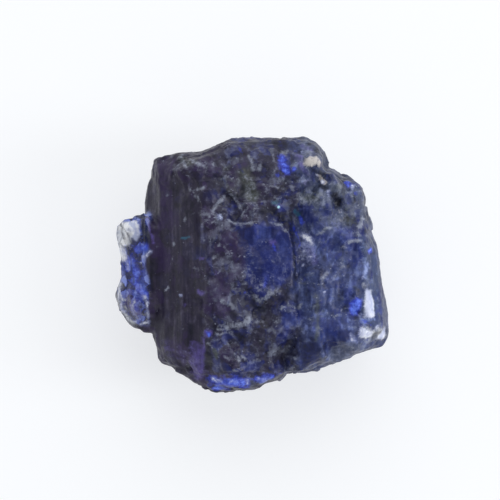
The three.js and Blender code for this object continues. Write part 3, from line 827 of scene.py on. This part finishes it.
class Paint:
    """The nodes of a material or a world in the making."""

    def __init__(self, owner):
        self.owner = owner
        owner.use_nodes = True
        self.tree = owner.node_tree
        self.tree.nodes.clear()

    def node(self, kind, settings=None, inputs=None, output=0):
        """A new node of that kind, its settings first, then its sockets. It gives one of its outputs."""
        made = self.tree.nodes.new(kind)
        for name, value in (settings or {}).items():
            setattr(made, name, value)
        for name, value in (inputs or {}).items():
            if isinstance(value, Wire):
                self.tree.links.new(value.socket, made.inputs[name])
            else:
                made.inputs[name].default_value = value
        return None if output is None else Wire(self, made.outputs[output])

    def attribute(self, name):
        return self.node("ShaderNodeAttribute", {"attribute_name": name}, output="Fac")

    def millimetres(self):
        """The place on the piece, in millimetres, with the heights drawn together.

        So the grain is longer down the steep sides, and seen from above it isn't squeezed into lines there.
        """
        place = self.node("ShaderNodeTexCoord", output="Object")
        scales = (1 / METRES, 1 / METRES, SIDE_GRAIN / METRES)
        return self.node("ShaderNodeVectorMath", {"operation": "MULTIPLY"}, {0: place, 1: scales})

    def scaled(self, place, size, seed):
        """The place, counted in steps of that size and moved off to a stretch of its own."""
        scales = tuple(1 / length for length in size)
        offset = tuple(step * seed for step in SEED_STEPS)
        inputs = {0: place, 1: scales, 2: offset}
        return self.node("ShaderNodeVectorMath", {"operation": "MULTIPLY_ADD"}, inputs)

    def noise(self, place, size, seed, detail=3.0, roughness=0.6):
        """Noise from -0.5 to 0.5, with lumps of that size in millimetres along x, y and z."""
        vector = self.scaled(place, size, seed)
        values = {"Vector": vector, "Scale": 1.0, "Detail": detail, "Roughness": roughness}
        return self.node("ShaderNodeTexNoise", None, values, output="Fac") - 0.5

    def grains(self, place, size, seed, softness):
        """Two random numbers from -0.5 to 0.5 for each grain, with grains of that size in millimetres."""
        settings = {"feature": "SMOOTH_F1"}
        values = {"Vector": self.scaled(place, size, seed), "Scale": 1.0, "Smoothness": softness}
        colour = self.node("ShaderNodeTexVoronoi", settings, values, output="Color")
        return (
            self.node("ShaderNodeSeparateColor", None, {"Color": colour}, output=name) - 0.5
            for name in ("Red", "Green")
        )

    def from_joint(self, place, size, seed):
        """How far inside a facet the place is, with facets of that size in millimetres."""
        settings = {"feature": "DISTANCE_TO_EDGE"}
        values = {"Vector": self.scaled(place, size, seed), "Scale": 1.0}
        return self.node("ShaderNodeTexVoronoi", settings, values, output="Distance")

    def shaken(self, place, amount, size):
        """The place, shaken by noise, which gives grains ragged edges."""
        values = {"Vector": place, "Scale": 1 / size, "Detail": 3.0}
        shake = self.node("ShaderNodeTexNoise", None, values, output="Color")
        inputs = {0: shake, 1: (amount,) * 3, 2: place}
        return self.node("ShaderNodeVectorMath", {"operation": "MULTIPLY_ADD"}, inputs)

    def mix(self, share, first, second):
        """A mix of two colours."""
        settings = {"data_type": "RGBA", "clamp_factor": True}
        inputs = {0: share, 6: as_colour(first), 7: as_colour(second)}
        return self.node("ShaderNodeMix", settings, inputs, output=2)


def as_colour(value):
    return value if isinstance(value, Wire) else (*value, 1)


def srgb(*numbers):
    """A linear colour from the three numbers from 0 to 255 that a picture shows."""
    return tuple(((n / 255 + 0.055) / 1.055) ** 2.4 if n > 10 else n / 255 / 12.92 for n in numbers)


# The dark, middle and light colours of each stretch of the crystal
LEFT_SHADES = srgb(30, 27, 43), srgb(42, 38, 57), srgb(70, 66, 86)
MIDDLE_SHADES = srgb(28, 27, 41), srgb(50, 49, 69), srgb(106, 110, 132)
WINDOW_SHADES = srgb(20, 26, 70), srgb(40, 47, 94), srgb(78, 86, 130)
RIGHT_SHADES = srgb(32, 38, 72), srgb(58, 68, 112), srgb(104, 118, 172)
SHOULDER_SHADES = srgb(38, 42, 62), srgb(74, 82, 108), srgb(134, 142, 170)
BEVEL_SHADES = srgb(40, 50, 84), srgb(60, 73, 111), srgb(108, 123, 166)
LOBE_SHADES = srgb(20, 28, 84), srgb(56, 72, 164), srgb(130, 148, 228)

# How fully each kind of facet covers the stone, and its dark and light colours
FACET_COLOURS = {
    "navy_facet": (0.8, srgb(15, 20, 62), srgb(36, 44, 100)),
    "blue_facet": (0.7, srgb(32, 42, 98), srgb(60, 74, 140)),
    "slate_facet": (0.75, srgb(60, 68, 96), srgb(116, 124, 156)),
    "sky_facet": (0.8, srgb(58, 76, 168), srgb(112, 138, 220)),
    "misty_facet": (0.8, srgb(80, 98, 156), srgb(144, 160, 212)),
    "pale_facet": (0.95, srgb(198, 206, 236), srgb(249, 251, 255)),
}

# Single colours
DUSKY_VIOLET = srgb(52, 40, 78)
# Near black, for the stone's dark patches and for painted shade
INK_AND_SHADE = srgb(16, 18, 32)
STEEP_SIDE_SHADE = srgb(24, 22, 44)
DEEP_BLUE_TINT = srgb(24, 34, 96)
MIDDLE_BLUE_TINT = srgb(50, 60, 130)
DULL_OLIVE = srgb(78, 84, 74)
DUST_GREY = srgb(88, 94, 112)
# Grey of frost, and of painted highlights on ledge lips
FROST_AND_HIGHLIGHT_GREY = srgb(142, 148, 166)
LEDGE_HIGHLIGHT_GREY = srgb(112, 116, 136)
SPARKLE_CYAN = srgb(190, 240, 255)
GLOW_BLUE = srgb(48, 64, 190)
BRIGHT_BLUE = srgb(110, 138, 248)
BRIGHT_VIOLET = srgb(97, 84, 158)
GLINT_GREY = srgb(160, 166, 190)
# Warm grey of the painted reflection and glints
WARM_HIGHLIGHT_GREY = srgb(196, 190, 186)
# Colours of the painted highlights and reflections
HIGHLIGHT_LAVENDER = srgb(156, 164, 208)
HIGHLIGHT_WHITE = srgb(238, 241, 250)
DULL_TEAL = srgb(50, 104, 132)
# Painted light seen through the clear parts
BACKLIT_GREY = srgb(214, 220, 234)
BACKLIT_PALE = srgb(250, 251, 254)
CLEAR_LINE = srgb(66, 70, 88)
GLASS_BLUE = srgb(205, 212, 250)
GLASS_CLEAR = srgb(250, 250, 253)


def stone_textures(paint):
    """The textures and attributes that the stone's colours are worked out from, by name."""
    place = paint.millimetres()
    ragged = paint.shaken(place, amount=0.5, size=0.5)
    block, block_hue = paint.grains(ragged, (0.95, 1.25, 0.95), 1, softness=0.2)
    grain, grain_hue = paint.grains(ragged, (0.42, 0.52, 0.42), 2, softness=0.25)
    drift = paint.noise(place, (1.6, 2.2, 1.6), 8)
    across = paint.node("ShaderNodeSeparateXYZ", None, {0: place}, output="X") + drift * 3.5
    attributes = (
        "left_face", "window", "right_bevel", "shoulder", "lobe", "steep",
        "ridge", "hollow", "tone", "worn", "olive", "clear", "deep_blue",
    )
    return SimpleNamespace(
        block=block,
        block_hue=block_hue,
        grain=grain,
        grain_hue=grain_hue,
        mottle=paint.noise(place, (0.8, 0.7, 0.8), 3),
        speckle=paint.noise(place, (0.2, 0.2, 0.2), 4, detail=1.0),
        streaks=paint.noise(place, (0.35, 1.6, 0.4), 5),
        dusts=paint.noise(place, (0.8, 0.45, 0.6), 6),
        flashes=paint.noise(place, (0.5, 0.6, 0.5), 7, detail=2.0),
        drift=drift,
        striae=paint.noise(place, (0.17, 3.5, 0.5), 9, detail=2.0),
        fray=paint.noise(place, (0.3, 0.3, 0.3), 10, roughness=0.7),
        from_joint=paint.from_joint(ragged, (0.7, 1.4, 0.7), 11),
        patch=paint.noise(place, (0.4, 0.5, 0.4), 12, detail=2.0),
        glints=paint.noise(place, (0.2, 0.16, 0.18), 13, detail=2.0),
        across=across,
        to_middle=across.between(-3.4, -1.0),
        to_right=across.between(1.9, 3.3),
        **{name: paint.attribute(name) for name in attributes},
    )


def stone_tone(here):
    """How light or dark the stone is, from about -1 to 1."""
    tone = here.block * (0.4 - here.to_right * 0.25) + here.grain * 0.4 + here.mottle * 0.7
    tone = tone + here.patch + here.fray * 0.9 + (here.tone - 0.5) * 0.4
    # Lighter on the relief's ridges and darker in its hollows: painted highlight and painted shade
    tone = tone + here.streaks * here.to_right + here.ridge * 0.1 - here.hollow * 0.2
    tone = tone * (1 - here.left_face * 0.3) + here.striae * here.left_face * 1.4
    return tone + (here.grain * 1.6 + here.block * 0.8 + here.speckle) * here.lobe


def stone_colour(paint, here, tone):
    """The stone's colour in each stretch, with its violet, blue and ink-dark patches, and painted shade on
    the steep sides and the lobe's rim.
    """
    shades = LEFT_SHADES
    for share, others in (
        (here.to_middle, MIDDLE_SHADES),
        (here.window, WINDOW_SHADES),
        (here.to_right, RIGHT_SHADES),
        (here.shoulder, SHOULDER_SHADES),
        (here.right_bevel, BEVEL_SHADES),
        (here.lobe, LOBE_SHADES),
    ):
        shades = [paint.mix(share, shade, other) for shade, other in zip(shades, others)]
    dark, middle, light = shades
    body = paint.mix(tone.between(-0.5, 0.0), dark, middle)
    body = paint.mix(tone.between(0.0, 0.55), body, light)
    hue = here.block_hue * 0.7 + here.grain_hue * 0.3 + here.streaks * 0.8 + here.drift
    to_left = 1 - here.across.between(-1.0, 2.0)
    dusky = (0.0 - hue).between(0.0, 0.5) * to_left * (0.7 - here.lobe * 0.6)
    body = paint.mix(dusky, body, DUSKY_VIOLET)
    blue = (hue + here.deep_blue * 0.35).between(0.0, 0.5) * (0.1 + here.to_middle * 0.9 + here.lobe * 0.4)
    tint = paint.mix(tone.between(-0.2, 0.5), DEEP_BLUE_TINT, MIDDLE_BLUE_TINT)
    body = paint.mix(blue * 0.8, body, tint)
    ink_and_shade = (here.mottle * 1.5 + here.speckle * 0.5 + here.grain * 0.2).between(0.4, 0.9)
    body = paint.mix(ink_and_shade * (0.8 - here.lobe * 0.5), body, INK_AND_SHADE)
    # Painted shade: the steep sides darkened against the light that the floor throws on them, and the lobe's
    # steep rim drawn as a dark outline where light bends away
    body = paint.mix(here.steep * (1 - here.lobe) * 0.4, body, STEEP_SIDE_SHADE)
    return paint.mix(here.steep * here.lobe * 0.7, body, CLEAR_LINE)


def weathered(paint, here, body):
    """The colour with dust, dull olive, frost, glints and blue flashes on it, and the share of frost."""
    quiet = here.window * 0.15 + here.left_face * 0.2 + here.lobe * 0.35
    dusting = here.worn * 0.15 + here.ridge * 0.1 + here.dusts * 2 + here.grain * 0.3 + here.fray * 0.4
    body = paint.mix((dusting - quiet).between(0.15, 0.75) * 0.55, body, DUST_GREY)
    dullness = here.dusts + here.fray * 0.5 + here.olive * 0.7 - here.lobe * 0.4
    body = paint.mix(dullness.between(0.15, 0.9) * 0.65, body, DULL_OLIVE)
    frosting = (here.dusts * 1.2 + here.fray * 2.2 + here.ridge * 0.1 - quiet).between(0.2, 0.9)
    body = paint.mix(frosting * 0.6, body, FROST_AND_HIGHLIGHT_GREY)
    glinting = (here.glints + here.dusts * 0.4 + here.ridge * 0.04).between(0.17, 0.3)
    body = paint.mix(glinting * (0.55 - here.left_face * 0.35), body, GLINT_GREY)
    flash = (here.grain_hue * 0.3 + here.speckle * 0.3 + here.flashes * 1.8).between(0.1, 0.7)
    body = paint.mix(flash * (0.03 + here.to_middle * 0.19 + here.lobe * 0.2), body, GLOW_BLUE)
    return body, frosting


def with_facets(paint, here, tone, body):
    """The colour with the cleaved facets on it."""
    streaked = (tone * 0.6 + here.streaks + here.striae * 0.5 + here.fray * 0.5).between(-0.4, 0.5)
    for name, (share, dark, light) in FACET_COLOURS.items():
        facet = paint.attribute(name)
        amount = (here.fray * 1.4 + facet).between(0.2, 1.0) * facet.between(0.02, 0.3)
        body = paint.mix(amount * share, body, paint.mix(streaked, dark, light))
    return body


def with_marks(paint, here, body):
    """The colour with the marks on it, one kind over the other, and the fine lines of the clear parts.

    Each kind has how ragged its edge is, where it starts and is full, how fully it covers, and its colour.
    """
    # The pale of the clear parts is painted light, the bright room seen through them
    clear_tone = here.grain * 0.8 + here.block * 0.6 + here.fray
    backlit_colour = paint.mix(clear_tone.between(-0.5, 0.3), BACKLIT_GREY, BACKLIT_PALE)
    for name, ragged, start, full, share, colour in (
        # Painted highlights along the lips of the ledges
        ("crest", 2.4, 0.4, 1.6, 0.5, LEDGE_HIGHLIGHT_GREY),
        # Frost, with painted highlights on ledge lips
        ("frost_and_highlight", 3.0, 0.3, 1.6, 0.9, FROST_AND_HIGHLIGHT_GREY),
        ("violet", 1.8, 0.1, 1.3, 0.75, BRIGHT_VIOLET),
        ("glowing", 1.8, 0.25, 1.1, 0.9, GLOW_BLUE),
        ("glowing", 2.4, 0.75, 1.5, 0.85, BRIGHT_BLUE),
        ("cyan", 1.8, 0.25, 1.2, 0.8, DULL_TEAL),
        ("clear", 1.0, 0.15, 0.9, 0.95, backlit_colour),
        # Dark marks: partly the stone's own dark, partly painted shade and shadow
        ("ink_and_shade", 1.8, 0.2, 1.2, 0.85, INK_AND_SHADE),
        # Warm painted reflection and glints
        ("warm_highlight", 2.0, 0.3, 1.1, 0.9, WARM_HIGHLIGHT_GREY),
        # Painted highlights and reflections, lavender at their edges and near white at their cores
        ("pale", 1.8, 0.15, 1.2, 0.85, HIGHLIGHT_LAVENDER),
        ("pale", 2.0, 0.7, 1.35, 1.0, HIGHLIGHT_WHITE),
        ("sparkling", 0.0, 0.3, 0.8, 1.0, SPARKLE_CYAN),
    ):
        mark = paint.attribute(name)
        amount = (here.fray * ragged + mark).between(start, full) * mark.between(0.05, 0.5)
        body = paint.mix(amount * share, body, colour)
    lines = here.from_joint.between(0.09, 0.02) * (here.clear + here.lobe * 0.3).between(0.2, 1.0)
    return paint.mix(lines * 0.45, body, CLEAR_LINE)


def crystal_material():
    """Clear corundum that takes up light with depth, under a frosty skin that lets little of it show."""
    paint = Paint(bpy.data.materials.new("deep_blue_crystal"))
    here = stone_textures(paint)
    tone = stone_tone(here)
    body, frosting = weathered(paint, here, stone_colour(paint, here, tone))
    body = with_marks(paint, here, with_facets(paint, here, tone, body))
    height = here.speckle * 0.6 + here.fray + here.mottle * 0.3
    bump = paint.node("ShaderNodeBump", None, {
        "Strength": 0.5, "Distance": GRAIN_BUMP * METRES, "Height": height,
    })
    skin = paint.node("ShaderNodeBsdfPrincipled", None, {
        "Base Color": body,
        "Roughness": 0.38 + frosting * 0.25 + here.speckle * 0.3 - here.lobe * 0.15,
        "Normal": bump,
        "IOR": STONE_IOR,
        "Specular IOR Level": 0.09,
        "Coat Weight": (here.lobe * 0.3 + here.clear * 0.5).limited(),
        "Coat Roughness": 0.15,
        "Coat IOR": STONE_IOR,
    })
    glass = paint.node("ShaderNodeBsdfPrincipled", None, {
        "Base Color": paint.mix(here.lobe, GLASS_BLUE, GLASS_CLEAR),
        "Roughness": 0.2 - here.lobe * 0.15,
        "Normal": bump,
        "IOR": STONE_IOR,
        "Specular IOR Level": 0.4,
        "Transmission Weight": 1.0,
    })
    cover = 0.95 + (1 - here.to_middle) * 0.03 + frosting * 0.03 - here.window * 0.03 - here.lobe * 0.12
    surface = paint.node("ShaderNodeMixShader", None, {0: cover.limited(), 1: glass, 2: skin})
    absorption = paint.node("ShaderNodeVolumeAbsorption", None, {
        "Color": ABSORPTION_COLOUR, "Density": ABSORPTION_DENSITY,
    })
    paint.node("ShaderNodeOutputMaterial", None, {"Surface": surface, "Volume": absorption}, output=None)
    return paint.owner


def make_crystal():
    mesh = build_skin(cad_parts["sapphire_crystal"])
    mesh.transform(Matrix.Scale(METRES, 4))
    mesh.materials.clear()
    mesh.materials.append(crystal_material())
    mesh.polygons.foreach_set("use_smooth", [True] * len(mesh.polygons))
    piece = bpy.data.objects.new("crystal", mesh)
    bpy.context.scene.collection.objects.link(piece)
    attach(piece, "root")
    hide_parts("sapphire_crystal")


# Stage

def make_floor():
    mesh = bpy.data.meshes.new("floor")
    half = 0.6
    under = -0.00001
    corners = [(-half, -half, under), (half, -half, under), (half, half, under), (-half, half, under)]
    mesh.from_pydata(corners, [], [(0, 1, 2, 3)])
    paint = Paint(bpy.data.materials.new("pale_floor"))
    surface = paint.node("ShaderNodeBsdfPrincipled", None, {
        "Base Color": (0.4, 0.41, 0.42, 1), "Roughness": 0.9, "Specular IOR Level": 0.1,
        "Emission Color": (0.97, 0.98, 1.0, 1), "Emission Strength": FLOOR_GLOW,
    })
    paint.node("ShaderNodeOutputMaterial", None, {"Surface": surface}, output=None)
    mesh.materials.append(paint.owner)
    floor = bpy.data.objects.new("floor", mesh)
    bpy.context.scene.collection.objects.link(floor)


def make_light(name, place, size, power):
    """A soft oblong light that faces the crystal, with its place and size in metres."""
    data = bpy.data.lights.new(name, "AREA")
    data.shape = "RECTANGLE"
    data.size, data.size_y = size
    data.energy = power
    light = bpy.data.objects.new(name, data)
    light.location = place
    light.rotation_euler = (Vector(LIGHTS_AIM) - Vector(place)).to_track_quat("-Z", "Y").to_euler()
    bpy.context.scene.collection.objects.link(light)


def make_world():
    """An even near-white room, dimmer overhead, so that level faces show their own colour."""
    paint = Paint(bpy.data.worlds.new("studio"))
    direction = paint.node("ShaderNodeTexCoord", output="Generated")
    height = paint.node("ShaderNodeSeparateXYZ", None, {"Vector": direction}, output="Z")
    strength = paint.node("ShaderNodeMapRange", None, {
        "Value": height, "From Min": 0.3, "From Max": 1.0, "To Min": ROOM_LIGHT, "To Max": OVERHEAD_LIGHT,
    })
    background = paint.node("ShaderNodeBackground", None, {
        "Color": (0.95, 0.97, 1.0, 1), "Strength": strength,
    })
    paint.node("ShaderNodeOutputWorld", None, {"Surface": background}, output=None)
    bpy.context.scene.world = paint.owner


def make_camera():
    """Looks straight down, far off, with the photo's frame at the height where the outline is widest."""
    data = bpy.data.cameras.new("camera")
    distance = 250
    data.sensor_width = 36
    data.lens = data.sensor_width * distance / (PICTURE_PIXELS * MM_PER_PIXEL)
    data.clip_start = 0.01
    camera = bpy.data.objects.new("camera", data)
    middle = from_pixels((PICTURE_PIXELS / 2, PICTURE_PIXELS / 2))[0]
    camera.location = Vector((middle[0], middle[1], GIRDLE_HEIGHT + distance)) * METRES
    bpy.context.scene.collection.objects.link(camera)
    bpy.context.scene.camera = camera


make_crystal()
make_floor()
make_world()
make_light("key_from_above", place=(0.06, 0.30, 0.32), size=(0.6, 0.5), power=1.1)
make_light("right_strip", place=(0.30, -0.02, 0.14), size=(0.1, 0.24), power=0.4)
make_camera()
bpy.context.scene.view_settings.view_transform = "Standard"
